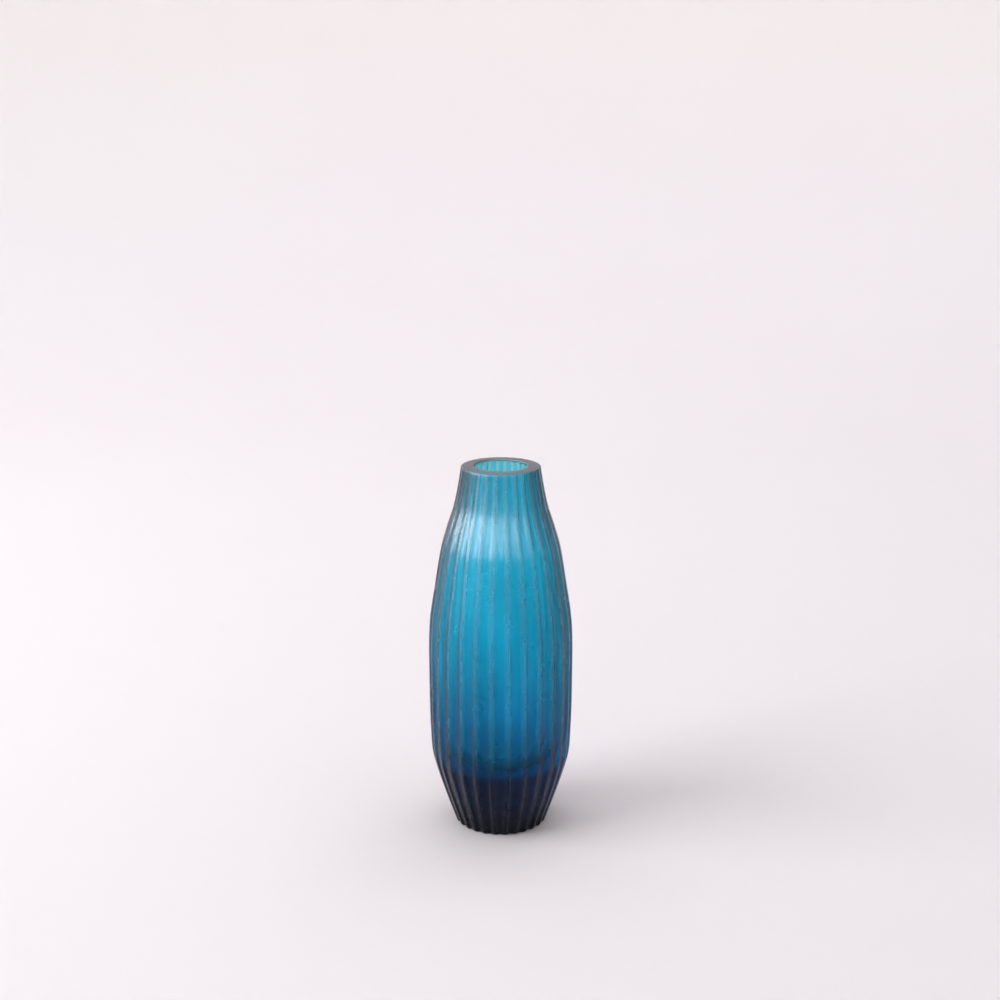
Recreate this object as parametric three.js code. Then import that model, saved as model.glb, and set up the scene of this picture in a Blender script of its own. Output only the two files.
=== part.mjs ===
// Hand-cut glass bud vase, as the three gathers of glass that it is made of.
// Millimetres, +Z up. The origin is the centre of the foot, on the surface the vase stands on.
// A flute is centred on the -Y side.
import * as THREE from 'three';

// Overall sizes
const HEIGHT = 232;
const BELLY_RADIUS = 45;
const RIM_RADIUS = 24.2;
const FOOT_RADIUS = 29;

// Lower outline: heights above the foot, insets from the belly radius
const FLARE_HEIGHT = 42; // where the straight flare starts to bend
const FLARE_INSET = 2.5;
const HIP_HEIGHT = 61; // where the bend ends
const HIP_INSET = 0.6;

// Upper outline: drops below the rim, insets from the belly radius, flares beyond the rim radius
const TURN_DROP = 100; // where the belly starts to turn inwards
const TURN_INSET = 0.55;
const SHOULDER_DROP = 74.5;
const SHOULDER_INSET = 4.2;
const SLOPE_DROP = 52;
const SLOPE_INSET = 8;
const THROAT_DROP = 40.5;
const THROAT_FLARE = 9.6;
const NECK_DROP = 23.5;
const NECK_FLARE = 4.3;

// Cut flutes
const FLUTE_COUNT = 28;
const FLUTE_DEPTH_RIM = 0.4;
const FLUTE_DEPTH_BELLY = 1.5;
const FLUTE_DEPTH_FOOT = 1.0;

// Glass layers: horizontal thicknesses, and the clearance that keeps the solids apart
const CASING_WALL = 5.0;
const LINING_WALL = 2.6;
const LAYER_GAP = 0.3;

// Solid base and the bowl above it
const CAVITY_FLOOR = 40; // lowest point of the inside, above the foot
const BOWL_DEPTH = 17; // from the lining's lowest point up to where it meets the wall
const BOWL_BLEND = 9; // rounding between the bowl and the wall, inside
const BASE_LIP_DROP = 1.2; // how far the flat lip of the base lies below that meeting line

// Ground edges
const RIM_CHAMFER = 0.5;
const HEEL_CHAMFER = 0.8;
const PUNTY_RADIUS = 10; // polished dish under the foot
const PUNTY_DEPTH = 0.8;

// Smoothness
const SEGMENTS_PER_FLUTE = 5; // one for the uncut land, the rest for the hollow
const CASING_SEGMENTS = FLUTE_COUNT * SEGMENTS_PER_FLUTE;
const PLAIN_SEGMENTS = 56;
const OUTER_ROWS = 18;
const WALL_ROWS = 12; // between the seat and the rim
const BASE_ROWS = 4; // between the foot and the seat
const BOWL_ROWS = 7;

const bellyHeight = (HIP_HEIGHT + HEIGHT - TURN_DROP) / 2;
const seatHeight = CAVITY_FLOOR - LINING_WALL + BOWL_DEPTH;

// The outline of the uncut glass, as a radius for each height
const outlineStations = [
  [0, FOOT_RADIUS],
  [FLARE_HEIGHT, BELLY_RADIUS - FLARE_INSET],
  [HIP_HEIGHT, BELLY_RADIUS - HIP_INSET],
  [bellyHeight, BELLY_RADIUS],
  [HEIGHT - TURN_DROP, BELLY_RADIUS - TURN_INSET],
  [HEIGHT - SHOULDER_DROP, BELLY_RADIUS - SHOULDER_INSET],
  [HEIGHT - SLOPE_DROP, BELLY_RADIUS - SLOPE_INSET],
  [HEIGHT - THROAT_DROP, RIM_RADIUS + THROAT_FLARE],
  [HEIGHT - NECK_DROP, RIM_RADIUS + NECK_FLARE],
  [HEIGHT, RIM_RADIUS],
];
const outline = new THREE.CubicInterpolant(
  outlineStations.map(([height]) => height),
  outlineStations.map(([, radius]) => radius),
  1,
);
const outerRadius = (height) => outline.evaluate(height)[0];
const casingInnerRadius = (height) => outerRadius(height) - CASING_WALL;
const liningOuterRadius = (height) => casingInnerRadius(height) - LAYER_GAP;
const liningInnerRadius = (height) => liningOuterRadius(height) - LINING_WALL;

// Values from low to high in equal steps, both ends included
function equalSteps(low, high, rows) {
  return Array.from({ length: rows + 1 }, (_, row) => THREE.MathUtils.lerp(low, high, row / rows));
}

// A radius rule sampled at some heights, as profile points
function profileAt(heights, radiusAt) {
  return heights.map((height) => new THREE.Vector2(radiusAt(height), height));
}

// Layers that lie against each other are sampled at the same heights
const baseHeights = equalSteps(0, seatHeight, BASE_ROWS);
const wallHeights = equalSteps(seatHeight, HEIGHT, WALL_ROWS);

// The smaller of two lengths, rounded over where they cross
function roundedMinimum(first, second, blend) {
  const share = THREE.MathUtils.clamp(0.5 + (second - first) / (2 * blend), 0, 1);
  return THREE.MathUtils.lerp(second, first, share) - blend * share * (1 - share);
}

// The bowl that closes the lining: part of a sphere through the seat and the lowest point
const seatRadius = liningOuterRadius(seatHeight);
const bowlRadius = (seatRadius ** 2 + BOWL_DEPTH ** 2) / (2 * BOWL_DEPTH);
const bowlCentreHeight = CAVITY_FLOOR - LINING_WALL + bowlRadius;

// Radius, at a height, of a sphere that shares the bowl's centre, and its full radius above that
function bowlRadiusAt(height, offset) {
  const below = Math.max(bowlCentreHeight - height, 0);
  return Math.sqrt(Math.max((bowlRadius + offset) ** 2 - below ** 2, 0));
}

// Bowl points from the axis out to the seat, spaced evenly by angle
function bowlProfile(offset, topHeight) {
  const sphere = bowlRadius + offset;
  const lastAngle = Math.acos((bowlCentreHeight - topHeight) / sphere);
  return equalSteps(0, lastAngle, BOWL_ROWS).map(
    (angle) => new THREE.Vector2(sphere * Math.sin(angle), bowlCentreHeight - sphere * Math.cos(angle)),
  );
}

// How deep the flutes are cut at a height
function fluteDepth(height) {
  if (height < bellyHeight) {
    return THREE.MathUtils.lerp(FLUTE_DEPTH_FOOT, FLUTE_DEPTH_BELLY, height / bellyHeight);
  }
  const rise = THREE.MathUtils.smoothstep(height, bellyHeight, HEIGHT);
  return THREE.MathUtils.lerp(FLUTE_DEPTH_BELLY, FLUTE_DEPTH_RIM, rise);
}

// Share of the flute depth that is cut away at a lathe step: none on the land, most in the middle
function hollowShare(step) {
  const hollowSteps = SEGMENTS_PER_FLUTE - 1;
  const fromLand = THREE.MathUtils.euclideanModulo(step + hollowSteps / 2, SEGMENTS_PER_FLUTE);
  if (fromLand > hollowSteps) {
    return 0;
  }
  return 1 - (2 * fromLand / hollowSteps - 1) ** 2;
}

// three.js turns a profile about +Y, and this stands the result on its foot
function upright(geometry) {
  return geometry.rotateX(Math.PI / 2);
}

// A closed solid of revolution
function turned(profile) {
  return upright(new THREE.LatheGeometry(profile, PLAIN_SEGMENTS));
}

function casingGeometry() {
  const outerHeights = equalSteps(HEEL_CHAMFER, HEIGHT - RIM_CHAMFER, OUTER_ROWS);
  const outside = profileAt(outerHeights, outerRadius);
  const inside = profileAt([...baseHeights, ...wallHeights.slice(1)], casingInnerRadius).reverse();
  const heel = new THREE.Vector2(FOOT_RADIUS - HEEL_CHAMFER, 0);
  const rim = new THREE.Vector2(RIM_RADIUS - RIM_CHAMFER, HEIGHT);
  const profile = [heel, ...outside, rim, ...inside, heel.clone()];
  const geometry = new THREE.LatheGeometry(profile, CASING_SEGMENTS);
  const lastCutPoint = outside.length + 1;
  const place = geometry.attributes.position;
  for (let step = 0; step <= CASING_SEGMENTS; step += 1) {
    for (let point = 0; point < profile.length; point += 1) {
      const isCut = point <= lastCutPoint || point === profile.length - 1;
      if (isCut) {
        const vertex = step * profile.length + point;
        const { x: radius, y: height } = profile[point];
        const shrink = 1 - (fluteDepth(height) * hollowShare(step)) / radius;
        place.setX(vertex, place.getX(vertex) * shrink);
        place.setZ(vertex, place.getZ(vertex) * shrink);
      }
    }
  }
  return upright(geometry);
}

function liningGeometry() {
  const bowl = bowlProfile(0, seatHeight);
  const outside = profileAt(wallHeights.slice(1), liningOuterRadius);
  const mouth = new THREE.Vector2(liningInnerRadius(HEIGHT) + RIM_CHAMFER, HEIGHT);
  const cavityRadius = (height) =>
    roundedMinimum(liningInnerRadius(height), bowlRadiusAt(height, -LINING_WALL), BOWL_BLEND);
  const wallFoot = seatHeight + BOWL_BLEND;
  const wall = profileAt(equalSteps(wallFoot, HEIGHT - RIM_CHAMFER, WALL_ROWS), cavityRadius);
  const corner = profileAt(equalSteps(CAVITY_FLOOR, wallFoot, BOWL_ROWS), cavityRadius).slice(1, -1);
  const floor = new THREE.Vector2(0, CAVITY_FLOOR);
  return turned([...bowl, ...outside, mouth, ...wall.reverse(), ...corner.reverse(), floor]);
}

function baseGeometry() {
  const lipHeight = seatHeight - BASE_LIP_DROP;
  const dish = bowlProfile(LAYER_GAP, lipHeight).reverse();
  const side = profileAt([...baseHeights.slice(0, -1), lipHeight], liningOuterRadius);
  const punty = new THREE.Vector2(0, PUNTY_DEPTH);
  const puntyEdge = new THREE.Vector2(PUNTY_RADIUS, 0);
  return turned([punty, puntyEdge, ...side, ...dish]);
}

function glass(color, roughness) {
  return new THREE.MeshStandardMaterial({ color, roughness, metalness: 0 });
}

function piece(name, geometry, material) {
  const mesh = new THREE.Mesh(geometry, material);
  mesh.name = name;
  return mesh;
}

const vase = new THREE.Group();
vase.add(piece('outer_casing', casingGeometry(), glass('#4d6f86', 0.25)));
vase.add(piece('inner_lining', liningGeometry(), glass('#1aa3c4', 0.1)));
vase.add(piece('base_gather', baseGeometry(), glass('#16202f', 0.2)));

export default vase;
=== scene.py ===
"""Hand-cut bud vase in layered glass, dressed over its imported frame, in metres with +Z up.

The vase is three gathers of glass fused into one vessel. Its outer body is a turned shape with a
ring of wheel-cut flutes, made by one Geometry Nodes tree. The turquoise lining and the dark base
lie inside that body as coloured glass, so they bend no light of their own.
"""

from __future__ import annotations

import logging
import math
from dataclasses import dataclass
from enum import Enum

import bpy
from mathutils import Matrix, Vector


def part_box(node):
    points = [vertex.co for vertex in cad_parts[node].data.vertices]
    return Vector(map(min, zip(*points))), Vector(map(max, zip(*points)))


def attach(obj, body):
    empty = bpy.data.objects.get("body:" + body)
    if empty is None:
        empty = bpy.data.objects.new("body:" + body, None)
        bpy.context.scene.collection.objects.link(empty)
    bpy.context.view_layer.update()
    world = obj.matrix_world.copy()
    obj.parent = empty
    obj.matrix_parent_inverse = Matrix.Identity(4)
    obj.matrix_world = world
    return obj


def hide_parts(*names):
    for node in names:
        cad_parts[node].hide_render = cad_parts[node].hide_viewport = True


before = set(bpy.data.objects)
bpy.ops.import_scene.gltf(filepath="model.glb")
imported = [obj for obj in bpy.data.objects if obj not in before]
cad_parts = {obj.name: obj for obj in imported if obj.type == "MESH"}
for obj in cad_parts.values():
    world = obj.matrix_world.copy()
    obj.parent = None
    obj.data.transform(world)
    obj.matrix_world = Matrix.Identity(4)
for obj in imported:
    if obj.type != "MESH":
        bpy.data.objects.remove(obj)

LOG = logging.getLogger("bud_vase")
MM = 0.001

Colour = tuple[float, float, float]
Place = tuple[float, float, float]
Socket = bpy.types.NodeSocket
Source = bpy.types.NodeSocket | float | int | str | tuple[float, ...]


class Zone(Enum):
    """The surfaces of the body, in the order in which its outline crosses them, and the lands."""

    PUNTY = 0
    FOOT = 1
    HOLLOW = 2
    RIM = 3
    CAVITY = 4
    LAND = 5


class Worked(Enum):
    """How a surface was finished by hand."""

    POLISHED = "polished"
    WHEEL = "wheel"
    GROUND = "ground"


@dataclass(frozen=True)
class OutlinePoint:
    """One point of a turned outline.

    Attributes:
        radius: Distance from the axis, in metres.
        height: Height above the foot, in metres.
        zone: The surface that the point belongs to.
        cut: Share of the full flute depth that is cut away here.
    """

    radius: float
    height: float
    zone: Zone = Zone.HOLLOW
    cut: float = 0.0


def steps(low: float, high: float, count: int) -> list[float]:
    """Gives values in equal steps.

    Args:
        low: The first value.
        high: The last value.
        count: How many steps lie between them.

    Returns:
        The values, both ends included.
    """
    return [low + (high - low) * i / count for i in range(count + 1)]


@dataclass(frozen=True)
class VaseSizes:
    """The sizes of the vase that its surfaces are worked out from, in metres.

    Attributes:
        height: Overall height.
        belly: Largest radius, over the uncut glass.
        rim: Outer radius of the rim.
        foot: Radius of the foot.
        cavity_floor: Height of the lowest point inside.
    """

    height: float
    belly: float
    rim: float
    foot: float
    cavity_floor: float
    wall: float = 7.9 * MM
    casing_wall: float = 5.3 * MM
    bowl_depth: float = 17 * MM
    bowl_blend: float = 9 * MM
    rim_round: float = 0.45 * MM
    rim_fall: float = 0.35 * MM
    skin: float = 0.08 * MM
    heel_round: float = 0.8 * MM
    punty: float = 10 * MM
    base_rise: float = 3 * MM
    punty_depth: float = 0.8 * MM

    @classmethod
    def from_frame(cls) -> VaseSizes:
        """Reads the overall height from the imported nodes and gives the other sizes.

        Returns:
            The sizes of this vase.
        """
        return cls(
            height=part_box("outer_casing")[1].z,
            belly=45 * MM,
            rim=24.2 * MM,
            foot=29 * MM,
            cavity_floor=40 * MM,
        )

    def stations(self) -> list[tuple[float, float]]:
        """Lists the heights and radii that the outline passes through."""
        top = self.height
        return [
            (0.0, self.foot),
            (42 * MM, self.belly - 2.5 * MM),
            (61 * MM, self.belly - 0.6 * MM),
            ((61 * MM + top - 100 * MM) / 2, self.belly),
            (top - 100 * MM, self.belly - 0.55 * MM),
            (top - 74.5 * MM, self.belly - 4.2 * MM),
            (top - 52 * MM, self.belly - 8 * MM),
            (top - 40.5 * MM, self.rim + 9.6 * MM),
            (top - 23.5 * MM, self.rim + 4.3 * MM),
            (top, self.rim),
        ]

    def outer_radius(self, height: float) -> float:
        """Gives the radius of the uncut glass at a height, on a smooth curve through the stations.

        Args:
            height: Height above the foot.

        Returns:
            The radius there.
        """
        points = self.stations()
        last = len(points) - 1
        slopes = [0.0] * (last + 1)
        for i in range(1, last):
            rise = points[i + 1][0] - points[i - 1][0]
            slopes[i] = (points[i + 1][1] - points[i - 1][1]) / rise
        slopes[0] = 1.5 * (points[1][1] - points[0][1]) / (points[1][0] - points[0][0])
        slopes[0] -= 0.5 * slopes[1]
        slopes[last] = 1.5 * (points[last][1] - points[last - 1][1])
        slopes[last] /= points[last][0] - points[last - 1][0]
        slopes[last] -= 0.5 * slopes[last - 1]
        i = min(max(sum(1 for z, _ in points if z <= height) - 1, 0), last - 1)
        (z0, r0), (z1, r1) = points[i], points[i + 1]
        span = z1 - z0
        t = min(max((height - z0) / span, 0.0), 1.0)
        return (
            (1 + 2 * t) * (1 - t) ** 2 * r0
            + t * (1 - t) ** 2 * span * slopes[i]
            + t * t * (3 - 2 * t) * r1
            + t * t * (t - 1) * span * slopes[i + 1]
        )

    def bowl(self) -> tuple[float, float]:
        """Gives the height of the centre and the radius of the sphere under the lining."""
        low = self.cavity_floor - (self.wall - self.casing_wall)
        seat = self.outer_radius(low + self.bowl_depth) - self.casing_wall
        radius = (seat**2 + self.bowl_depth**2) / (2 * self.bowl_depth)
        return low + radius, radius

    def cavity_radius(self, height: float, inset: float = 0.0) -> float:
        """Gives the radius of the inside at a height.

        Args:
            height: Height above the foot.
            inset: How much further out into the glass to measure.

        Returns:
            The radius there, rounded where the wall meets the bowl.
        """
        wall = self.outer_radius(height) - self.wall + inset
        centre, radius = self.bowl()
        sphere = radius - (self.wall - self.casing_wall) + inset
        below = max(centre - height, 0.0)
        bowl = math.sqrt(max(sphere**2 - below**2, 0.0))
        share = min(max(0.5 + (bowl - wall) / (2 * self.bowl_blend), 0.0), 1.0)
        return bowl + (wall - bowl) * share - self.bowl_blend * share * (1 - share)

    def cavity_heights(self, top: float, inset: float = 0.0) -> list[float]:
        """Lists heights down the inside, closer together in the bowl.

        Args:
            top: The first and highest height.
            inset: How much further out into the glass the surface lies.

        Returns:
            Heights from the top down to the lowest point.
        """
        low = self.cavity_floor - inset
        bend = low + self.bowl_depth * 1.6
        wall = steps(top, bend, 44)
        bowl = [low + (bend - low) * (1 - math.sin(a)) for a in steps(0, math.pi / 2, 26)]
        return wall + bowl[1:]

    def body_outline(self) -> list[OutlinePoint]:
        """Traces the whole surface of the body.

        Returns:
            Points from the axis under the foot, up the outside, over the rim and down the inside.
        """
        points = [
            OutlinePoint(r, self.punty_depth * (1 - (r / self.punty) ** 2), Zone.PUNTY, 0.0)
            for r in steps(0.0, self.punty, 8)
        ]
        flat_edge = self.foot - self.heel_round
        fade_from = flat_edge - 4 * MM
        for r in steps(self.punty, flat_edge, 14)[1:]:
            points.append(OutlinePoint(r, 0.0, Zone.FOOT, max(0.0, (r - fade_from) / (4 * MM))))
        for turn in steps(0.0, math.pi / 2, 4)[1:]:
            z = self.heel_round * (1 - math.cos(turn))
            r = self.outer_radius(z) - self.heel_round * (1 - math.sin(turn))
            points.append(OutlinePoint(r, z, Zone.HOLLOW, 1.0))
        edge_top = self.height - self.rim_fall
        for z in steps(self.heel_round, edge_top - self.rim_round, 132)[1:]:
            points.append(OutlinePoint(self.outer_radius(z), z, Zone.HOLLOW, 1.0))
        for turn in steps(0.0, math.pi / 2, 4)[1:]:
            z = edge_top - self.rim_round * (1 - math.sin(turn))
            r = self.outer_radius(z) - self.rim_round * (1 - math.cos(turn))
            points.append(OutlinePoint(r, z, Zone.RIM, 1.0))
        outside = points[-1].radius
        inside = self.cavity_radius(self.height) + self.rim_round
        for share in steps(0.0, 1.0, 10)[1:]:
            r = outside + (inside - outside) * share
            z = self.height - self.rim_fall * (1 - share) ** 2
            points.append(OutlinePoint(r, z, Zone.RIM, max(0.0, 1 - 2 * share)))
        for turn in steps(0.0, math.pi / 2, 4)[1:]:
            r = inside - self.rim_round * math.sin(turn)
            z = self.height - self.rim_round * (1 - math.cos(turn))
            points.append(OutlinePoint(r, z, Zone.RIM, 0.0))
        top = self.height - self.rim_round - 0.03 * MM
        for z in self.cavity_heights(top):
            points.append(OutlinePoint(self.cavity_radius(z), z, Zone.CAVITY, 0.0))
        points[-1] = OutlinePoint(0.0, self.cavity_floor, Zone.CAVITY, 0.0)
        return points

    def lining_outline(self) -> list[OutlinePoint]:
        """Traces the turquoise layer, just inside the surface of the cavity.

        Returns:
            Points from the axis, up the outside of the layer and down its inside.
        """
        thick = self.wall - self.casing_wall
        top = self.height - self.rim_fall - self.skin
        low = self.cavity_floor - thick
        points = [
            OutlinePoint(self.cavity_radius(z, thick), z)
            for z in reversed(self.cavity_heights(top, thick))
        ]
        points[0] = OutlinePoint(0.0, low)
        inner = [
            OutlinePoint(self.cavity_radius(z, self.skin), z)
            for z in self.cavity_heights(top, self.skin)
        ]
        inner[-1] = OutlinePoint(0.0, self.cavity_floor - self.skin)
        return points + inner

    def base_outline(self) -> list[OutlinePoint]:
        """Traces the dark glass between the foot and the lining.

        Returns:
            Points from the axis just above the foot, up the side and down over the bowl.
        """
        thick = self.wall - self.casing_wall + self.skin
        low = self.cavity_floor - thick
        lip = low + self.base_rise
        floor = self.punty_depth + self.skin
        edge = self.outer_radius(floor) - self.casing_wall
        bottom = [OutlinePoint(r, floor) for r in steps(0.0, edge, 10)]
        side = [
            OutlinePoint(self.outer_radius(z) - self.casing_wall, z) for z in steps(floor, lip, 20)
        ]
        heights = [low + (lip - low) * math.cos(a) ** 2 for a in steps(0.0, math.pi / 2, 20)]
        bowl = [OutlinePoint(self.cavity_radius(z, thick), z) for z in heights]
        bowl[-1] = OutlinePoint(0.0, low)
        return bottom + side[1:] + bowl


class NodeSketch:
    """A node tree with short calls to place its nodes and join them."""

    def __init__(self, tree: bpy.types.NodeTree) -> None:
        """Keeps the tree that the calls work on."""
        self.tree = tree

    def add(self, kind: str, **settings: object) -> bpy.types.Node:
        """Places a node.

        Args:
            kind: Blender's name for the node type.
            **settings: Properties to set on it.

        Returns:
            The new node.
        """
        node = self.tree.nodes.new(kind)
        for name, value in settings.items():
            setattr(node, name, value)
        return node

    def feed(self, socket: bpy.types.NodeSocket, source: Source) -> None:
        """Gives an input a link or a fixed value.

        Args:
            socket: The input.
            source: An output to link from, or the value.
        """
        if isinstance(source, bpy.types.NodeSocket):
            self.tree.links.new(source, socket)
        else:
            socket.default_value = source

    def math(self, operation: str, *values: Source) -> Socket:
        """Places a Math node.

        Args:
            operation: Blender's name for the operation.
            *values: One to three outputs or numbers.

        Returns:
            The result.
        """
        node = self.add("ShaderNodeMath", operation=operation)
        for socket, value in zip(node.inputs, values):
            self.feed(socket, value)
        return node.outputs[0]

    def vector(self, x: Source, y: Source, z: Source) -> Socket:
        """Joins three values into a vector and returns it."""
        node = self.add("ShaderNodeCombineXYZ")
        for socket, value in zip(node.inputs, (x, y, z)):
            self.feed(socket, value)
        return node.outputs[0]

    def mapped(
        self, value: Source, low: Source, high: Source, to_low: Source, to_high: Source,
        ease: str = "LINEAR",
    ) -> Socket:
        """Places a Map Range node.

        Args:
            value: What to map.
            low: Start of the range it comes in.
            high: End of the range it comes in.
            to_low: What the start becomes.
            to_high: What the end becomes.
            ease: LINEAR or SMOOTHSTEP.

        Returns:
            The result.
        """
        node = self.add("ShaderNodeMapRange", interpolation_type=ease)
        for socket, source in zip(node.inputs, (value, low, high, to_low, to_high)):
            self.feed(socket, source)
        return node.outputs[0]


@dataclass
class FluteTree:
    """Geometry Nodes that turn an outline and cut flutes into it.

    Attributes:
        hollow_steps: Faces across the hollow of a flute.
        land_steps: Faces across the uncut land beside it.
    """

    hollow_steps: int = 10
    land_steps: int = 2

    NUMBERS = {
        "Flutes": ("NodeSocketInt", 28),
        "Land width": ("NodeSocketFloat", 1.8 * MM),
        "Depth at foot": ("NodeSocketFloat", 1.0 * MM),
        "Depth at belly": ("NodeSocketFloat", 1.4 * MM),
        "Depth at rim": ("NodeSocketFloat", 0.4 * MM),
        "Belly height": ("NodeSocketFloat", 96.5 * MM),
        "Height": ("NodeSocketFloat", 232 * MM),
        "Edge softness": ("NodeSocketFloat", 1.0),
        "Hand wander": ("NodeSocketFloat", 0.03),
        "Hand pressure": ("NodeSocketFloat", 0.16),
        "Seed": ("NodeSocketInt", 7),
    }

    def build(self) -> bpy.types.GeometryNodeTree:
        """Builds the tree.

        Returns:
            A tree whose inputs are an outline object, the sizes in NUMBERS and a material per zone.
        """
        tree = bpy.data.node_groups.new("turned fluted glass", "GeometryNodeTree")
        tree.is_modifier = True
        face = tree.interface
        face.new_socket(name="Geometry", in_out="INPUT", socket_type="NodeSocketGeometry")
        face.new_socket(name="Outline", in_out="INPUT", socket_type="NodeSocketObject")
        for name, (kind, value) in self.NUMBERS.items():
            face.new_socket(name=name, in_out="INPUT", socket_type=kind).default_value = value
        for zone_name in Zone:
            title = zone_name.name.title()
            face.new_socket(name=title, in_out="INPUT", socket_type="NodeSocketMaterial")
        face.new_socket(name="Geometry", in_out="OUTPUT", socket_type="NodeSocketGeometry")
        sketch = NodeSketch(tree)
        sizes = sketch.add("NodeGroupInput").outputs
        mesh, step, place, zone, cut = self._turn(sketch, sizes)
        flute, local = self._split(sketch, step)
        angle, hollow, land = self._flute_plan(sketch, sizes, flute, local, place)
        radius = self._cut_radius(sketch, sizes, place, angle, hollow, cut)
        x = sketch.math("MULTIPLY", radius, sketch.math("SINE", angle))
        back = sketch.math("MULTIPLY", sketch.math("COSINE", angle), -1.0)
        y = sketch.math("MULTIPLY", radius, back)
        position = sketch.vector(x, y, self._part(sketch, place, 1))
        self._finish(sketch, sizes, mesh, position, zone, land, hollow)
        return tree

    def _turn(self, sketch: NodeSketch, sizes: bpy.types.NodeOutputs) -> tuple[Socket, ...]:
        """Sweeps the outline round a circle and keeps each point's step, place, zone and cut."""
        around = sketch.math("MULTIPLY", sizes["Flutes"], self.hollow_steps + self.land_steps)
        circle = sketch.add("GeometryNodeCurvePrimitiveCircle")
        sketch.feed(circle.inputs["Resolution"], around)
        keep_step = sketch.add("GeometryNodeCaptureAttribute")
        keep_step.capture_items.new("FLOAT", "Step")
        sketch.feed(keep_step.inputs["Geometry"], circle.outputs["Curve"])
        index = sketch.add("GeometryNodeSplineParameter").outputs["Index"]
        sketch.feed(keep_step.inputs["Step"], index)
        outline = sketch.add("GeometryNodeObjectInfo")
        sketch.feed(outline.inputs["Object"], sizes["Outline"])
        keep = sketch.add("GeometryNodeCaptureAttribute")
        for kind, name in (("VECTOR", "Place"), ("FLOAT", "Zone"), ("FLOAT", "Cut")):
            keep.capture_items.new(kind, name)
        sketch.feed(keep.inputs["Geometry"], outline.outputs["Geometry"])
        sketch.feed(keep.inputs["Place"], sketch.add("GeometryNodeInputPosition").outputs[0])
        sketch.feed(keep.inputs["Zone"], sketch.add("GeometryNodeInputCurveTilt").outputs[0])
        sketch.feed(keep.inputs["Cut"], sketch.add("GeometryNodeInputRadius").outputs[0])
        sweep = sketch.add("GeometryNodeCurveToMesh")
        sketch.feed(sweep.inputs["Curve"], keep_step.outputs["Geometry"])
        sketch.feed(sweep.inputs["Profile Curve"], keep.outputs["Geometry"])
        kept = [keep.outputs[name] for name in ("Place", "Zone", "Cut")]
        return sweep.outputs["Mesh"], keep_step.outputs["Step"], *kept

    def _between(self, sketch: NodeSketch, zone: Source, number: int) -> Socket:
        """Chooses the faces from one zone up to where the next one starts."""
        above = sketch.math("GREATER_THAN", zone, number - 0.25)
        return sketch.math("MULTIPLY", above, sketch.math("LESS_THAN", zone, number + 0.75))

    def _part(self, sketch: NodeSketch, vector: Source, axis: int) -> Socket:
        """Takes one component of a vector."""
        node = sketch.add("ShaderNodeSeparateXYZ")
        sketch.feed(node.inputs[0], vector)
        return node.outputs[axis]

    def _split(self, sketch: NodeSketch, step: Source) -> tuple[Socket, Socket]:
        """Splits a step round the circle into its flute's number and its step inside that flute."""
        per_flute = float(self.hollow_steps + self.land_steps)
        counted = sketch.math("DIVIDE", sketch.math("ADD", step, 0.001), per_flute)
        flute = sketch.math("FLOOR", counted)
        local = sketch.math("SUBTRACT", step, sketch.math("MULTIPLY", flute, per_flute))
        return flute, local

    def _flute_plan(
        self, sketch: NodeSketch, sizes: bpy.types.NodeOutputs, flute: Source, local: Source,
        place: Source,
    ) -> tuple[Socket, Socket, Socket]:
        """Places each step across its flute, so that the land keeps its width at every height."""
        girth = sketch.math("MULTIPLY", self._part(sketch, place, 0), math.tau)
        spacing = sketch.math("MAXIMUM", sketch.math("DIVIDE", girth, sizes["Flutes"]), 1 * MM)
        land_share = sketch.math("DIVIDE", sizes["Land width"], spacing)
        land_share = sketch.math("MINIMUM", land_share, 0.34)
        hollow_share = sketch.math("SUBTRACT", 1.0, land_share)
        across = sketch.math("DIVIDE", local, float(self.hollow_steps))
        even = sketch.math("SUBTRACT", across, 0.5)
        swing = sketch.math("MULTIPLY", even, math.pi)
        spread = sketch.math("MULTIPLY", sketch.math("SINE", swing), 0.5)
        spread = sketch.mapped(sizes["Edge softness"], 0.0, 1.6, even, spread)
        in_hollow = sketch.math("MULTIPLY", spread, hollow_share)
        past = sketch.math("SUBTRACT", local, float(self.hollow_steps))
        past = sketch.math("DIVIDE", past, float(self.land_steps))
        past = sketch.math("MULTIPLY", past, land_share)
        on_land = sketch.math("ADD", sketch.math("MULTIPLY", hollow_share, 0.5), past)
        is_land = sketch.math("GREATER_THAN", local, self.hollow_steps + 0.5)
        offset = sketch.mapped(is_land, 0.0, 1.0, in_hollow, on_land)
        turn = sketch.math("DIVIDE", sketch.math("ADD", flute, offset), sizes["Flutes"])
        nominal = sketch.math("MULTIPLY", turn, math.tau)
        wander = self._noise(sketch, sizes, nominal, self._part(sketch, place, 1), 4.5, 14.0, 0.0)
        drift = sketch.math("MULTIPLY", wander, sizes["Hand wander"])
        drift = sketch.math("MULTIPLY", drift, math.tau)
        angle = sketch.math("ADD", nominal, sketch.math("DIVIDE", drift, sizes["Flutes"]))
        bow = sketch.math("MULTIPLY", spread, 2.0)
        arc = sketch.math("SUBTRACT", 1.0, sketch.math("MULTIPLY", bow, bow))
        arc = sketch.math("MAXIMUM", arc, 0.0)
        eased = sketch.mapped(arc, 0.0, 1.0, 0.0, 1.0, "SMOOTHSTEP")
        section = sketch.mapped(sizes["Edge softness"], 0.0, 1.0, arc, eased)
        hollow = sketch.math("MULTIPLY", section, sketch.math("SUBTRACT", 1.0, is_land))
        return angle, hollow, is_land

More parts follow.
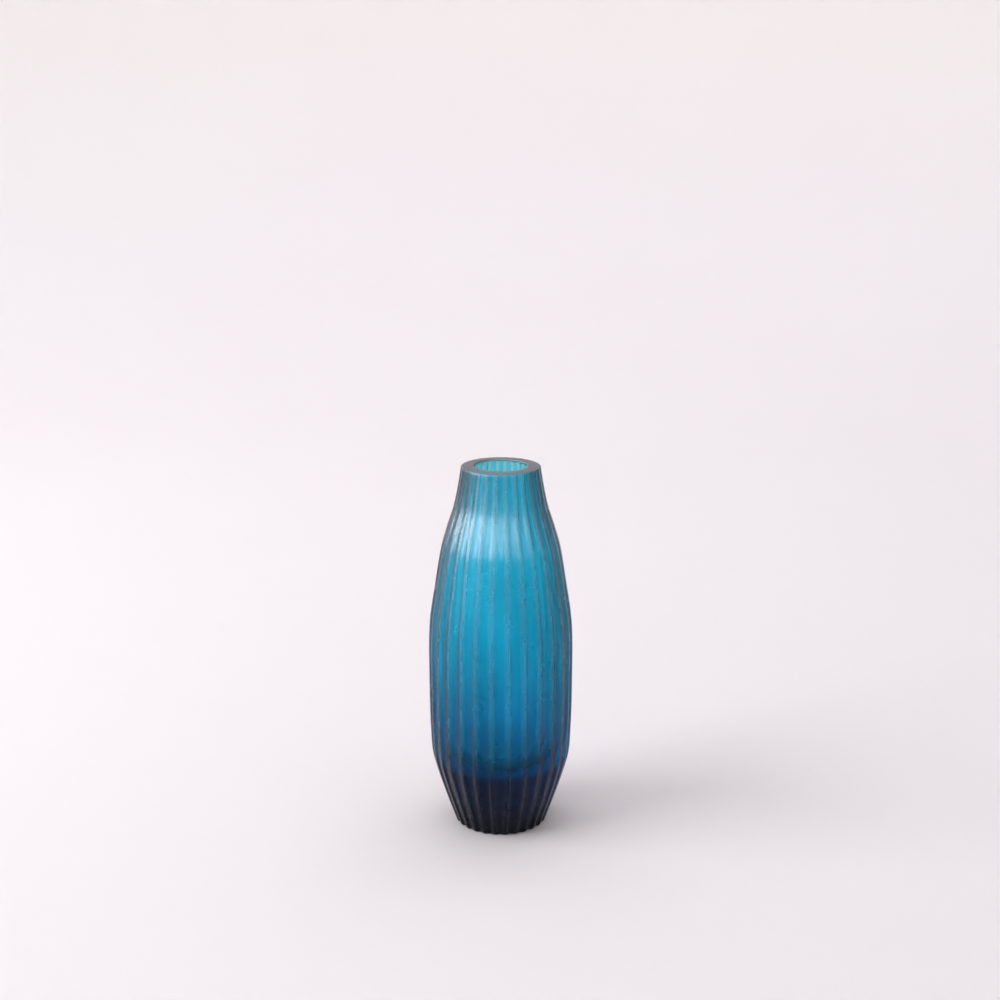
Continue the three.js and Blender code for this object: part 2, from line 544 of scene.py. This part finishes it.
    def _noise(
        self, sketch: NodeSketch, sizes: bpy.types.NodeOutputs, angle: Source, height: Source,
        round_scale: float, up_scale: float, shift: float,
    ) -> Socket:
        """Makes a slow wander between -1 and 1 that closes on itself round the vase."""
        x = sketch.math("MULTIPLY", sketch.math("COSINE", angle), round_scale)
        y = sketch.math("MULTIPLY", sketch.math("SINE", angle), round_scale)
        z = sketch.math("ADD", sketch.math("MULTIPLY", height, up_scale), shift)
        noise = sketch.add("ShaderNodeTexNoise", noise_dimensions="4D")
        sketch.feed(noise.inputs["Vector"], sketch.vector(x, y, z))
        sketch.feed(noise.inputs["W"], sketch.math("MULTIPLY", sizes["Seed"], 3.1))
        sketch.feed(noise.inputs["Scale"], 1.0)
        sketch.feed(noise.inputs["Detail"], 0.0)
        return sketch.mapped(noise.outputs["Fac"], 0.25, 0.75, -1.0, 1.0)

    def _cut_radius(
        self, sketch: NodeSketch, sizes: bpy.types.NodeOutputs, place: Source, angle: Source,
        hollow: Source, cut: Source,
    ) -> Socket:
        """Takes the depth of the flute off the outline's radius."""
        height = self._part(sketch, place, 1)
        foot, belly = sizes["Depth at foot"], sizes["Depth at belly"]
        lower = sketch.mapped(height, 0.0, sizes["Belly height"], foot, belly)
        upper = sketch.mapped(
            height, sizes["Belly height"], sizes["Height"], 0.0,
            sketch.math("SUBTRACT", sizes["Depth at rim"], belly), "SMOOTHSTEP",
        )
        press = self._noise(sketch, sizes, angle, height, 6.0, 18.0, 40.0)
        press = sketch.math("ADD", 1.0, sketch.math("MULTIPLY", press, sizes["Hand pressure"]))
        depth = sketch.math("MULTIPLY", sketch.math("ADD", lower, upper), press)
        off = sketch.math("MULTIPLY", sketch.math("MULTIPLY", depth, hollow), cut)
        return sketch.math("SUBTRACT", self._part(sketch, place, 0), off)

    def _finish(
        self, sketch: NodeSketch, sizes: bpy.types.NodeOutputs, mesh: Source, position: Source,
        zone: Source, land: Source, hollow: Source,
    ) -> None:
        """Moves the points, closes the poles, gives each zone its material and ends the tree."""
        shaped = sketch.add("GeometryNodeSetPosition")
        sketch.feed(shaped.inputs["Geometry"], mesh)
        sketch.feed(shaped.inputs["Position"], position)
        closed = sketch.add("GeometryNodeMergeByDistance")
        sketch.feed(closed.inputs["Geometry"], shaped.outputs[0])
        sketch.feed(closed.inputs["Distance"], 0.002 * MM)
        outward = sketch.add("GeometryNodeFlipFaces")
        sketch.feed(outward.inputs["Mesh"], closed.outputs[0])
        smooth = sketch.add("GeometryNodeSetShadeSmooth")
        sketch.feed(smooth.inputs["Geometry"], outward.outputs[0])
        real = sketch.add("GeometryNodeRealizeInstances")
        sketch.feed(real.inputs["Geometry"], smooth.outputs[0])
        kept = sketch.add("GeometryNodeStoreNamedAttribute", data_type="FLOAT", domain="POINT")
        sketch.feed(kept.inputs["Geometry"], real.outputs[0])
        sketch.feed(kept.inputs["Name"], "hollow")
        sketch.feed(kept.inputs["Value"], hollow)
        geometry = kept.outputs[0]
        for zone_name in Zone:
            if zone_name is Zone.LAND:
                on_wall = self._between(sketch, zone, Zone.HOLLOW.value)
                chosen = sketch.math("MULTIPLY", sketch.math("GREATER_THAN", land, 0.25), on_wall)
            else:
                chosen = self._between(sketch, zone, zone_name.value)
            dressed = sketch.add("GeometryNodeSetMaterial")
            sketch.feed(dressed.inputs["Geometry"], geometry)
            sketch.feed(dressed.inputs["Selection"], chosen)
            sketch.feed(dressed.inputs["Material"], sizes[zone_name.name.title()])
            geometry = dressed.outputs[0]
        sketch.feed(sketch.add("NodeGroupOutput").inputs[0], geometry)


def outline_object(name: str, points: list[OutlinePoint]) -> bpy.types.Object:
    """Makes an outline into a curve whose tilt is the zone and whose radius is the share of cut.

    Args:
        name: Name of the object.
        points: The outline.

    Returns:
        A curve object, to be removed once the mesh is made.
    """
    curve = bpy.data.curves.new(name, "CURVE")
    curve.dimensions = "3D"
    spline = curve.splines.new("POLY")
    spline.points.add(len(points) - 1)
    for target, point in zip(spline.points, points):
        target.co = (point.radius, point.height, 0.0, 1.0)
        target.tilt = float(point.zone.value)
        target.radius = point.cut
    made = bpy.data.objects.new(name, curve)
    bpy.context.scene.collection.objects.link(made)
    return made


class ShaderSketch(NodeSketch):
    """A material or shader group with short calls for what glass needs."""

    def place(self) -> Socket:
        """Gives Object coordinates."""
        return self.add("ShaderNodeTexCoord").outputs["Object"]

    def height(self) -> Socket:
        """Gives the height in Object coordinates."""
        split = self.add("ShaderNodeSeparateXYZ")
        self.feed(split.inputs[0], self.place())
        return split.outputs[2]

    def grey(self, value: Source) -> Socket:
        """Makes a grey of a value."""
        node = self.add("ShaderNodeCombineColor")
        for socket in node.inputs:
            self.feed(socket, value)
        return node.outputs[0]

    def noise(
        self, scale: float, detail: float, stretch: Place = (1.0, 1.0, 1.0)
    ) -> Socket:
        """Places a noise in Object coordinates.

        Args:
            scale: Features per metre, roughly.
            detail: Octaves of finer noise.
            stretch: Factors on the three axes.

        Returns:
            The noise, around one half.
        """
        mapping = self.add("ShaderNodeMapping")
        self.feed(mapping.inputs["Vector"], self.place())
        self.feed(mapping.inputs["Scale"], stretch)
        noise = self.add("ShaderNodeTexNoise")
        self.feed(noise.inputs["Vector"], mapping.outputs[0])
        self.feed(noise.inputs["Scale"], scale)
        self.feed(noise.inputs["Detail"], detail)
        return noise.outputs["Fac"]

    def mixed(self, factor: Source, first: Source, second: Source, blend: str = "MIX") -> Socket:
        """Mixes two colours.

        Args:
            factor: How much of the second colour.
            first: A colour output or value.
            second: A colour output or value.
            blend: Blender's name for the way of mixing.

        Returns:
            The mixed colour.
        """
        node = self.add("ShaderNodeMix", data_type="RGBA", blend_type=blend)
        self.feed(node.inputs[0], factor)
        self.feed(node.inputs[6], first)
        self.feed(node.inputs[7], second)
        return node.outputs[2]

    def ramp(self, value: Source, stops: list[tuple[float, Colour]]) -> Socket:
        """Places a colour ramp.

        Args:
            value: What it reads, from 0 to 1.
            stops: Places and colours.

        Returns:
            The colour.
        """
        node = self.add("ShaderNodeValToRGB")
        node.color_ramp.interpolation = "EASE"
        elements = node.color_ramp.elements
        while len(elements) < len(stops):
            elements.new(0.5)
        for element, (place, colour) in zip(elements, stops):
            element.position = place
            element.color = (*colour, 1.0)
        self.feed(node.inputs[0], value)
        return node.outputs[0]

    def use(self, group: bpy.types.ShaderNodeTree, **values: Source) -> bpy.types.Node:
        """Places a shader group.

        Args:
            group: The group.
            **values: Its inputs by name.

        Returns:
            The group's node.
        """
        node = self.add("ShaderNodeGroup", node_tree=group)
        for name, value in values.items():
            self.feed(node.inputs[name], value)
        return node


def blank_material(name: str) -> bpy.types.Material:
    """Starts a material with an empty node tree."""
    material = bpy.data.materials.new(name)
    material.use_nodes = True
    material.node_tree.nodes.clear()
    return material


def shader_group(
    name: str, inputs: dict[str, float], outputs: list[str]
) -> tuple[ShaderSketch, bpy.types.NodeOutputs, bpy.types.NodeInputs]:
    """Starts a shader group of plain numbers.

    Args:
        name: Name of the group.
        inputs: Its inputs and their usual values.
        outputs: Its outputs.

    Returns:
        The sketch, the outputs of its input node and the inputs of its output node.
    """
    tree = bpy.data.node_groups.new(name, "ShaderNodeTree")
    for title, value in inputs.items():
        made = tree.interface.new_socket(name=title, in_out="INPUT", socket_type="NodeSocketFloat")
        made.default_value = value
    for title in outputs:
        tree.interface.new_socket(name=title, in_out="OUTPUT", socket_type="NodeSocketFloat")
    sketch = ShaderSketch(tree)
    given = sketch.add("NodeGroupInput").outputs
    return sketch, given, sketch.add("NodeGroupOutput").inputs


class Effects:
    """The shader groups that several finishes share."""

    def __init__(self) -> None:
        """Builds each group once."""
        self.hand_wear = self._hand_wear()
        self.wheel_marks = self._wheel_marks()
        self.ground_grain = self._ground_grain()

    def _hand_wear(self) -> bpy.types.ShaderNodeTree:
        """Uneven colour and shine over the whole vessel, from the gather and the acid dip."""
        sketch, given, made = shader_group("hand wear", {"Amount": 0.2}, ["Cloud", "Smudge"])
        cloud = sketch.mapped(sketch.noise(26.0, 2.0, (1.0, 1.0, 0.45)), 0.3, 0.7, -1.0, 1.0)
        sketch.feed(made["Cloud"], sketch.math("MULTIPLY", cloud, given["Amount"]))
        smudge = sketch.mapped(sketch.noise(70.0, 4.0), 0.35, 0.75, 0.0, 1.0)
        sketch.feed(made["Smudge"], sketch.math("MULTIPLY", smudge, given["Amount"]))
        return sketch.tree

    def _wheel_marks(self) -> bpy.types.ShaderNodeTree:
        """Fine lines that the cutting wheel leaves along a flute, under the satin pitting."""
        sketch, given, made = shader_group("wheel marks", {"Lines": 0.6, "Pits": 0.4}, ["Height"])
        lines = sketch.noise(2600.0, 2.0, (1.0, 1.0, 0.03))
        waves = sketch.noise(420.0, 1.0, (1.0, 1.0, 0.06))
        pits = sketch.noise(5200.0, 1.0)
        drawn = sketch.math("MULTIPLY", sketch.math("ADD", lines, waves), given["Lines"])
        pitted = sketch.math("MULTIPLY", pits, given["Pits"])
        sketch.feed(made["Height"], sketch.math("ADD", drawn, pitted))
        return sketch.tree

    def _ground_grain(self) -> bpy.types.ShaderNodeTree:
        """The grain of a face ground flat on a wheel: fine speckle with a few deeper scores."""
        sketch, given, made = shader_group("ground grain", {"Coarseness": 1.0}, ["Grain", "Score"])
        grain = sketch.noise(2400.0, 3.0)
        sketch.feed(made["Grain"], sketch.math("MULTIPLY", grain, given["Coarseness"]))
        score = sketch.mapped(sketch.noise(900.0, 2.0, (0.12, 1.0, 1.0)), 0.62, 0.72, 0.0, 1.0)
        sketch.feed(made["Score"], sketch.math("MULTIPLY", score, given["Coarseness"]))
        return sketch.tree


@dataclass(frozen=True)
class Tint:
    """A colour that changes with height.

    Attributes:
        stops: Heights in metres and the linear colour at each.
    """

    stops: tuple[tuple[float, Colour], ...]

    def read(self, sketch: ShaderSketch) -> Socket:
        """Puts the tint into a material.

        Args:
            sketch: The material's sketch.

        Returns:
            The colour at each point.
        """
        top = self.stops[-1][0]
        share = sketch.math("DIVIDE", sketch.height(), top)
        return sketch.ramp(share, [(height / top, colour) for height, colour in self.stops])


@dataclass(frozen=True)
class GlassFinish:
    """One finish on the surface of the body.

    Attributes:
        name: Name of the material.
        tint: Colour of the light that passes.
        roughness: Lowest and highest roughness.
        bump: Height of the surface detail, in metres.
        clear: How much of the light passes instead of scattering.
        worked: How it was finished by hand.
        skin: Tint of the uncut glass, which a flute keeps near its edges.
        skin_reach: Depth, as a share of the flute, at which nothing of it is left.
        painted_edge_shade: Painted shade: a dark colour mixed in where the glass is seen edge on,
            in place of the shade that a longer path of light through it would give.
        painted_edge_shade_share: How strongly the painted shade is mixed in.
        gleam: Tint of the reflection seen straight on.
        ior: Index of refraction.
    """

    name: str
    tint: Tint
    roughness: tuple[float, float]
    bump: float
    clear: float = 1.0
    worked: Worked = Worked.POLISHED
    skin: Tint | None = None
    skin_reach: float = 0.9
    painted_edge_shade: Colour = (0.008, 0.016, 0.04)
    painted_edge_shade_share: float = 0.0
    gleam: Colour = (1.0, 1.0, 1.0)
    ior: float = 1.5

    def make(self, effects: Effects) -> bpy.types.Material:
        """Makes the material.

        Args:
            effects: The shared groups.

        Returns:
            The material.
        """
        material = blank_material(self.name)
        sketch = ShaderSketch(material.node_tree)
        glass = sketch.add("ShaderNodeBsdfPrincipled")
        glass.inputs["IOR"].default_value = self.ior
        glass.inputs["Transmission Weight"].default_value = self.clear
        glass.inputs["Specular Tint"].default_value = (*self.gleam, 1.0)
        unevenness = 0.12
        wear = sketch.use(effects.hand_wear, Amount=unevenness).outputs
        colour = self.tint.read(sketch)
        if self.skin:
            hollow = sketch.add("ShaderNodeAttribute", attribute_name="hollow").outputs["Fac"]
            edge = sketch.mapped(hollow, 0.0, self.skin_reach, 1.0, 0.0, "SMOOTHSTEP")
            colour = sketch.mixed(edge, colour, self.skin.read(sketch))
        # Painted shade: the colour is darkened where the surface is seen edge on, and in a band
        # round the neck, in place of the shade of light passing through more glass.
        if self.painted_edge_shade_share:
            facing = sketch.add("ShaderNodeLayerWeight").outputs["Facing"]
            painted_neck_shade = sketch.mapped(sketch.height(), 172 * MM, 222 * MM, 0.0, 0.18, "SMOOTHSTEP")
            facing = sketch.math("ADD", facing, painted_neck_shade)
            thick = sketch.mapped(facing, 0.12, 0.68, 0.0, self.painted_edge_shade_share, "SMOOTHSTEP")
            colour = sketch.mixed(thick, colour, (*self.painted_edge_shade, 1.0))
        brighter = sketch.math("ADD", 1.0, wear["Cloud"])
        colour = sketch.mixed(1.0, colour, sketch.grey(brighter), "MULTIPLY")
        sketch.feed(glass.inputs["Base Color"], colour)
        low, high = self.roughness
        smudge = sketch.math("MULTIPLY", wear["Smudge"], (high - low) / unevenness)
        rough = sketch.math("ADD", low, smudge)
        height = None
        if self.worked is Worked.WHEEL:
            height = sketch.use(effects.wheel_marks).outputs["Height"]
        elif self.worked is Worked.GROUND:
            grain = sketch.use(effects.ground_grain).outputs
            height = sketch.math("SUBTRACT", grain["Grain"], grain["Score"])
            rough = sketch.math("ADD", rough, sketch.math("MULTIPLY", grain["Grain"], 0.1))
        sketch.feed(glass.inputs["Roughness"], rough)
        if height is not None:
            bump = sketch.add("ShaderNodeBump")
            bump.inputs["Distance"].default_value = self.bump
            sketch.feed(bump.inputs["Height"], height)
            sketch.feed(glass.inputs["Normal"], bump.outputs[0])
        sketch.feed(sketch.add("ShaderNodeOutputMaterial").inputs["Surface"], glass.outputs[0])
        return material


@dataclass(frozen=True)
class InnerGlass:
    """Coloured glass inside the body, which bends no light of its own.

    Attributes:
        name: Name of the material.
        colour: What the glass lets through.
        density: How fast it absorbs the rest, per metre.
    """

    name: str
    colour: Colour
    density: float

    def make(self, effects: Effects) -> bpy.types.Material:
        """Makes the material.

        Args:
            effects: The shared groups.

        Returns:
            The material.
        """
        material = blank_material(self.name)
        sketch = ShaderSketch(material.node_tree)
        glass = sketch.add("ShaderNodeBsdfPrincipled")
        glass.inputs["IOR"].default_value = 1.0
        glass.inputs["Transmission Weight"].default_value = 1.0
        glass.inputs["Roughness"].default_value = 0.0
        cloud = sketch.use(effects.hand_wear, Amount=0.05).outputs["Cloud"]
        light = sketch.math("ADD", 0.93, cloud)
        sketch.feed(glass.inputs["Base Color"], sketch.grey(light))
        body = sketch.add("ShaderNodeVolumeAbsorption")
        body.inputs["Color"].default_value = (*self.colour, 1.0)
        body.inputs["Density"].default_value = self.density
        output = sketch.add("ShaderNodeOutputMaterial")
        sketch.feed(output.inputs["Surface"], glass.outputs[0])
        sketch.feed(output.inputs["Volume"], body.outputs[0])
        return material


@dataclass
class FlutedBody:
    """The outer body: the whole turned surface, inside and out, with its flutes.

    Attributes:
        sizes: Sizes of the vase.
        effects: The shared shader groups.
    """

    sizes: VaseSizes
    effects: Effects

    def finishes(self) -> dict[Zone, GlassFinish]:
        """Gives the finish of each surface.

        Returns:
            A finish for every zone.
        """
        # Glass colour by height, from near black at the foot to turquoise at the top: partly the
        # glass's own colour, partly painted shade that darkens the lower body.
        outside = Tint(
            (
                (0.0, (0.003, 0.005, 0.012)),
                (16 * MM, (0.003, 0.010, 0.030)),
                (21 * MM, (0.003, 0.024, 0.080)),
                (42 * MM, (0.004, 0.032, 0.100)),
                (47 * MM, (0.002, 0.25, 0.52)),
                (72 * MM, (0.002, 0.21, 0.45)),
                (125 * MM, (0.004, 0.55, 0.80)),
                (160 * MM, (0.010, 0.62, 0.84)),
                (232 * MM, (0.008, 0.58, 0.82)),
            )
        )
        # Colour of the lands by height, darker toward the bottom in the same way: partly the uncut
        # glass's own colour, partly painted shade.
        skin = Tint(
            (
                (0.0, (0.02, 0.025, 0.04)),
                (42 * MM, (0.03, 0.06, 0.12)),
                (49 * MM, (0.05, 0.28, 0.46)),
                (125 * MM, (0.17, 0.54, 0.74)),
                (232 * MM, (0.34, 0.62, 0.76)),
            )
        )
        turquoise = Tint(((0.0, (0.30, 0.82, 0.92)), (232 * MM, (0.50, 0.92, 0.96))))
        smoke = Tint(((0.0, (0.02, 0.02, 0.035)), (232 * MM, (0.20, 0.19, 0.22))))
        gleam = (0.10, 0.12, 0.14)
        return {
            Zone.PUNTY: GlassFinish("polished punty", smoke, (0.04, 0.12), 0.0, gleam=gleam),
            Zone.FOOT: GlassFinish(
                "ground foot", smoke, (0.35, 0.5), 0.02 * MM, worked=Worked.GROUND,
            ),
            Zone.HOLLOW: GlassFinish(
                "satin flutes", outside, (0.21, 0.30), 0.006 * MM, clear=0.9, worked=Worked.WHEEL,
                skin=skin, painted_edge_shade_share=0.9, gleam=gleam,
            ),
            Zone.RIM: GlassFinish(
                "ground rim", smoke, (0.3, 0.42), 0.012 * MM, clear=0.7, worked=Worked.GROUND,
            ),
            Zone.CAVITY: GlassFinish(
                "polished inside", turquoise, (0.03, 0.1), 0.0, clear=0.74, gleam=gleam,
            ),
            Zone.LAND: GlassFinish(
                "satin lands", skin, (0.24, 0.34), 0.006 * MM, clear=0.88, worked=Worked.WHEEL,
                painted_edge_shade_share=0.9, gleam=gleam,
            ),
        }

    def build(self) -> bpy.types.Object:
        """Builds and dresses the body.

        Returns:
            The finished piece.
        """
        tree = FluteTree().build()
        outline = outline_object("body outline", self.sizes.body_outline())
        piece = bpy.data.objects.new("fluted_body", bpy.data.meshes.new("fluted_body"))
        bpy.context.scene.collection.objects.link(piece)
        modifier = piece.modifiers.new("turned fluted glass", "NODES")
        modifier.node_group = tree
        given: dict[str, bpy.types.ID | float] = {"Outline": outline, "Height": self.sizes.height}
        finishes = self.finishes()
        for zone in Zone:
            given[zone.name.title()] = finishes[zone].make(self.effects)
        for item in tree.interface.items_tree:
            if item.item_type == "SOCKET" and item.in_out == "INPUT" and item.name in given:
                modifier[item.identifier] = given[item.name]
        made_plain(piece, "fluted_body")
        bpy.data.objects.remove(outline)
        return piece


def made_plain(piece: bpy.types.Object, name: str) -> None:
    """Turns a piece with modifiers into a plain mesh.

    Args:
        piece: The piece; its modifiers are removed.
        name: Name of the mesh.
    """
    bpy.context.view_layer.update()
    graph = bpy.context.evaluated_depsgraph_get()
    mesh = bpy.data.meshes.new_from_object(
        piece.evaluated_get(graph), preserve_all_data_layers=True, depsgraph=graph
    )
    mesh.name = name
    piece.modifiers.clear()
    piece.data = mesh


@dataclass
class InnerLayer:
    """A closed turned layer inside the body.

    Attributes:
        name: Name of the piece.
        outline: Its outline, from the axis back to the axis.
        finish: Its glass.
        effects: The shared shader groups.
        around: Faces round it.
    """

    name: str
    outline: list[OutlinePoint]
    finish: InnerGlass
    effects: Effects
    around: int = 160

    def build(self) -> bpy.types.Object:
        """Builds and dresses the layer.

        Returns:
            The finished piece.
        """
        on_axis = 0.001 * MM
        verts: list[Place] = []
        rings: list[list[int]] = []
        for point in self.outline:
            if point.radius < on_axis:
                rings.append([len(verts)] * self.around)
                verts.append((0.0, 0.0, point.height))
                continue
            rings.append(list(range(len(verts), len(verts) + self.around)))
            for k in range(self.around):
                angle = math.tau * k / self.around
                x, y = point.radius * math.cos(angle), point.radius * math.sin(angle)
                verts.append((x, y, point.height))
        faces: list[tuple[int, ...]] = []
        for low, high in zip(rings, rings[1:]):
            for k in range(self.around):
                after = (k + 1) % self.around
                corners = (low[k], low[after], high[after], high[k])
                faces.append(tuple(dict.fromkeys(corners)))
        mesh = bpy.data.meshes.new(self.name)
        mesh.from_pydata(verts, [], faces)
        mesh.polygons.foreach_set("use_smooth", [True] * len(mesh.polygons))
        mesh.materials.append(self.finish.make(self.effects))
        mesh.update()
        piece = bpy.data.objects.new(self.name, mesh)
        bpy.context.scene.collection.objects.link(piece)
        return piece


@dataclass
class Studio:
    """The pale sweep, the soft lights and the camera.

    Attributes:
        turn: Turn of the camera round the vase, in degrees.
        distance: From the axis to the lens.
        lens_height: Height of the lens.
        pitch: How far the camera looks down, in degrees.
    """

    turn: float = 0.77
    distance: float = 0.822
    lens_height: float = 0.421
    pitch: float = 14.39

    def sweep(self) -> bpy.types.Object:
        """Builds the round floor that curves up into a wall on every side.

        Returns:
            The stage object.
        """
        flat, bend, top, around = 1.1, 2.3, 5.0, 96
        line = [(0.35, 0.0), (flat, 0.0)]
        for turn in steps(0.0, math.pi / 2, 28)[1:]:
            line.append((flat + bend * math.sin(turn), bend * (1 - math.cos(turn))))
        line.append((flat + bend, top))
        verts = [(0.0, 0.0, 0.0)]
        for radius, height in line:
            for k in range(around):
                angle = math.tau * k / around
                verts.append((radius * math.cos(angle), radius * math.sin(angle), height))
        faces = [(0, 1 + k, 1 + (k + 1) % around) for k in range(around)]
        for row in range(len(line) - 1):
            start = 1 + row * around
            for k in range(around):
                after = (k + 1) % around
                faces.append((start + k, start + around + k, start + around + after, start + after))
        mesh = bpy.data.meshes.new("sweep")
        mesh.from_pydata(verts, [], faces)
        mesh.polygons.foreach_set("use_smooth", [True] * len(mesh.polygons))
        mesh.materials.append(self._paper())
        made = bpy.data.objects.new("sweep", mesh)
        bpy.context.scene.collection.objects.link(made)
        return made

    def _paper(self) -> bpy.types.Material:
        """Makes the pale paper of the sweep."""
        material = bpy.data.materials.new("pale paper")
        material.use_nodes = True
        sketch = ShaderSketch(material.node_tree)
        paper = material.node_tree.nodes["Principled BSDF"]
        paper.inputs["Roughness"].default_value = 0.9
        paper.inputs["Specular IOR Level"].default_value = 0.1
        rise = sketch.mapped(sketch.height(), 0.0, 1.6, 0.0, 1.0, "SMOOTHSTEP")
        low = sketch.mixed(sketch.noise(1.2, 2.0), (0.83, 0.80, 0.85, 1.0), (0.86, 0.84, 0.87, 1.0))
        tone = sketch.mixed(rise, low, (0.85, 0.82, 0.79, 1.0))
        sketch.feed(paper.inputs["Base Color"], tone)
        return material

    def lamp(
        self, name: str, place: Place, size: tuple[float, float], power: float, colour: Colour,
        aim: Place = (0.0, 0.0, 0.1),
    ) -> bpy.types.Object:
        """Hangs one soft box.

        Args:
            name: Its name.
            place: Where it hangs.
            size: Its width and height.
            power: Its power, in watts.
            colour: Its colour.
            aim: What it points at.

        Returns:
            The light.
        """
        data = bpy.data.lights.new(name, "AREA")
        data.shape = "RECTANGLE"
        data.size, data.size_y = size
        data.energy = power
        data.color = colour
        made = bpy.data.objects.new(name, data)
        made.location = place
        made.rotation_euler = (Vector(aim) - Vector(place)).to_track_quat("-Z", "Y").to_euler()
        made.visible_camera = False
        made.visible_transmission = False
        bpy.context.scene.collection.objects.link(made)
        return made

    def light(self) -> None:
        """Hangs the lights and sets the surroundings."""
        self.lamp("window", (-2.0, -0.6, 1.75), (1.7, 1.7), 39.0, (1.0, 0.985, 0.98))
        above = (1.0, 0.98, 0.985)
        self.lamp("ceiling", (0.2, 0.5, 3.4), (3.4, 3.4), 42.0, above, (0.2, 0.6, 0.0))
        wash = (1.0, 0.98, 0.97)
        self.lamp("wall wash", (0.0, 0.9, 3.0), (3.0, 0.5), 23.0, wash, (0.0, 3.4, 1.2))
        strips = (
            (-105.0, 140.0, 0.70, 0.80),
            (-65.0, 250.0, 0.85, 0.65),
            (-25.0, 185.0, 1.05, 0.42),
            (15.0, 150.0, 1.05, 0.42),
            (55.0, 45.0, 0.85, 0.60),
        )
        reach, wide = 2.4, 1.7
        for azimuth, power, level, tall in strips:
            turn = math.radians(azimuth)
            place = (reach * math.sin(turn), -reach * math.cos(turn), level)
            size = (wide, tall)
            strip = self.lamp(f"strip {azimuth:.0f}", place, size, power, (1.0, 0.99, 0.97))
            strip.visible_diffuse = False
        world = bpy.data.worlds.new("dim room")
        world.use_nodes = True
        surround = world.node_tree.nodes["Background"]
        surround.inputs["Color"].default_value = (0.62, 0.62, 0.66, 1.0)
        surround.inputs["Strength"].default_value = 0.25
        bpy.context.scene.world = world

    def camera(self) -> None:
        """Places the camera."""
        data = bpy.data.cameras.new("camera")
        data.lens = 50.0
        data.sensor_width = 36.0
        data.clip_start = 0.01
        data.shift_x = -0.0008
        made = bpy.data.objects.new("camera", data)
        turn = math.radians(self.turn)
        across, out = self.distance * math.sin(turn), self.distance * math.cos(turn)
        made.location = (across, -out, self.lens_height)
        made.rotation_euler = (math.radians(90 - self.pitch), 0.0, turn)
        bpy.context.scene.collection.objects.link(made)
        bpy.context.scene.camera = made

    def exposure(self) -> None:
        """Sets how light is carried through the glass and shown."""
        scene = bpy.context.scene
        scene.view_settings.view_transform = "Standard"
        scene.cycles.max_bounces = 28
        scene.cycles.transmission_bounces = 26
        scene.cycles.glossy_bounces = 8
        scene.cycles.sample_clamp_indirect = 1.2
        scene.cycles.caustics_reflective = False


def declare(piece: bpy.types.Object, node: str) -> None:
    """Parents a piece to the root body and hides the node that it replaces.

    Args:
        piece: The piece.
        node: The node that it replaces.
    """
    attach(piece, "root")
    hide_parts(node)
    LOG.info("%s: %d faces", piece.name, len(piece.data.polygons))


def main() -> None:
    """Builds the vase and its studio."""
    logging.basicConfig(level=logging.INFO)
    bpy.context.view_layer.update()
    sizes = VaseSizes.from_frame()
    effects = Effects()
    body = FlutedBody(sizes, effects).build()
    declare(body, "outer_casing")
    turquoise = InnerGlass("turquoise lining glass", (0.05, 0.86, 0.93), 160.0)
    lining = InnerLayer("lining_glass", sizes.lining_outline(), turquoise, effects).build()
    declare(lining, "inner_lining")
    navy = InnerGlass("dark base glass", (0.03, 0.30, 0.58), 46.0)
    base = InnerLayer("base_glass", sizes.base_outline(), navy, effects).build()
    declare(base, "base_gather")
    studio = Studio()
    studio.sweep()
    studio.light()
    studio.camera()
    studio.exposure()


if __name__ == "__main__":
    main()
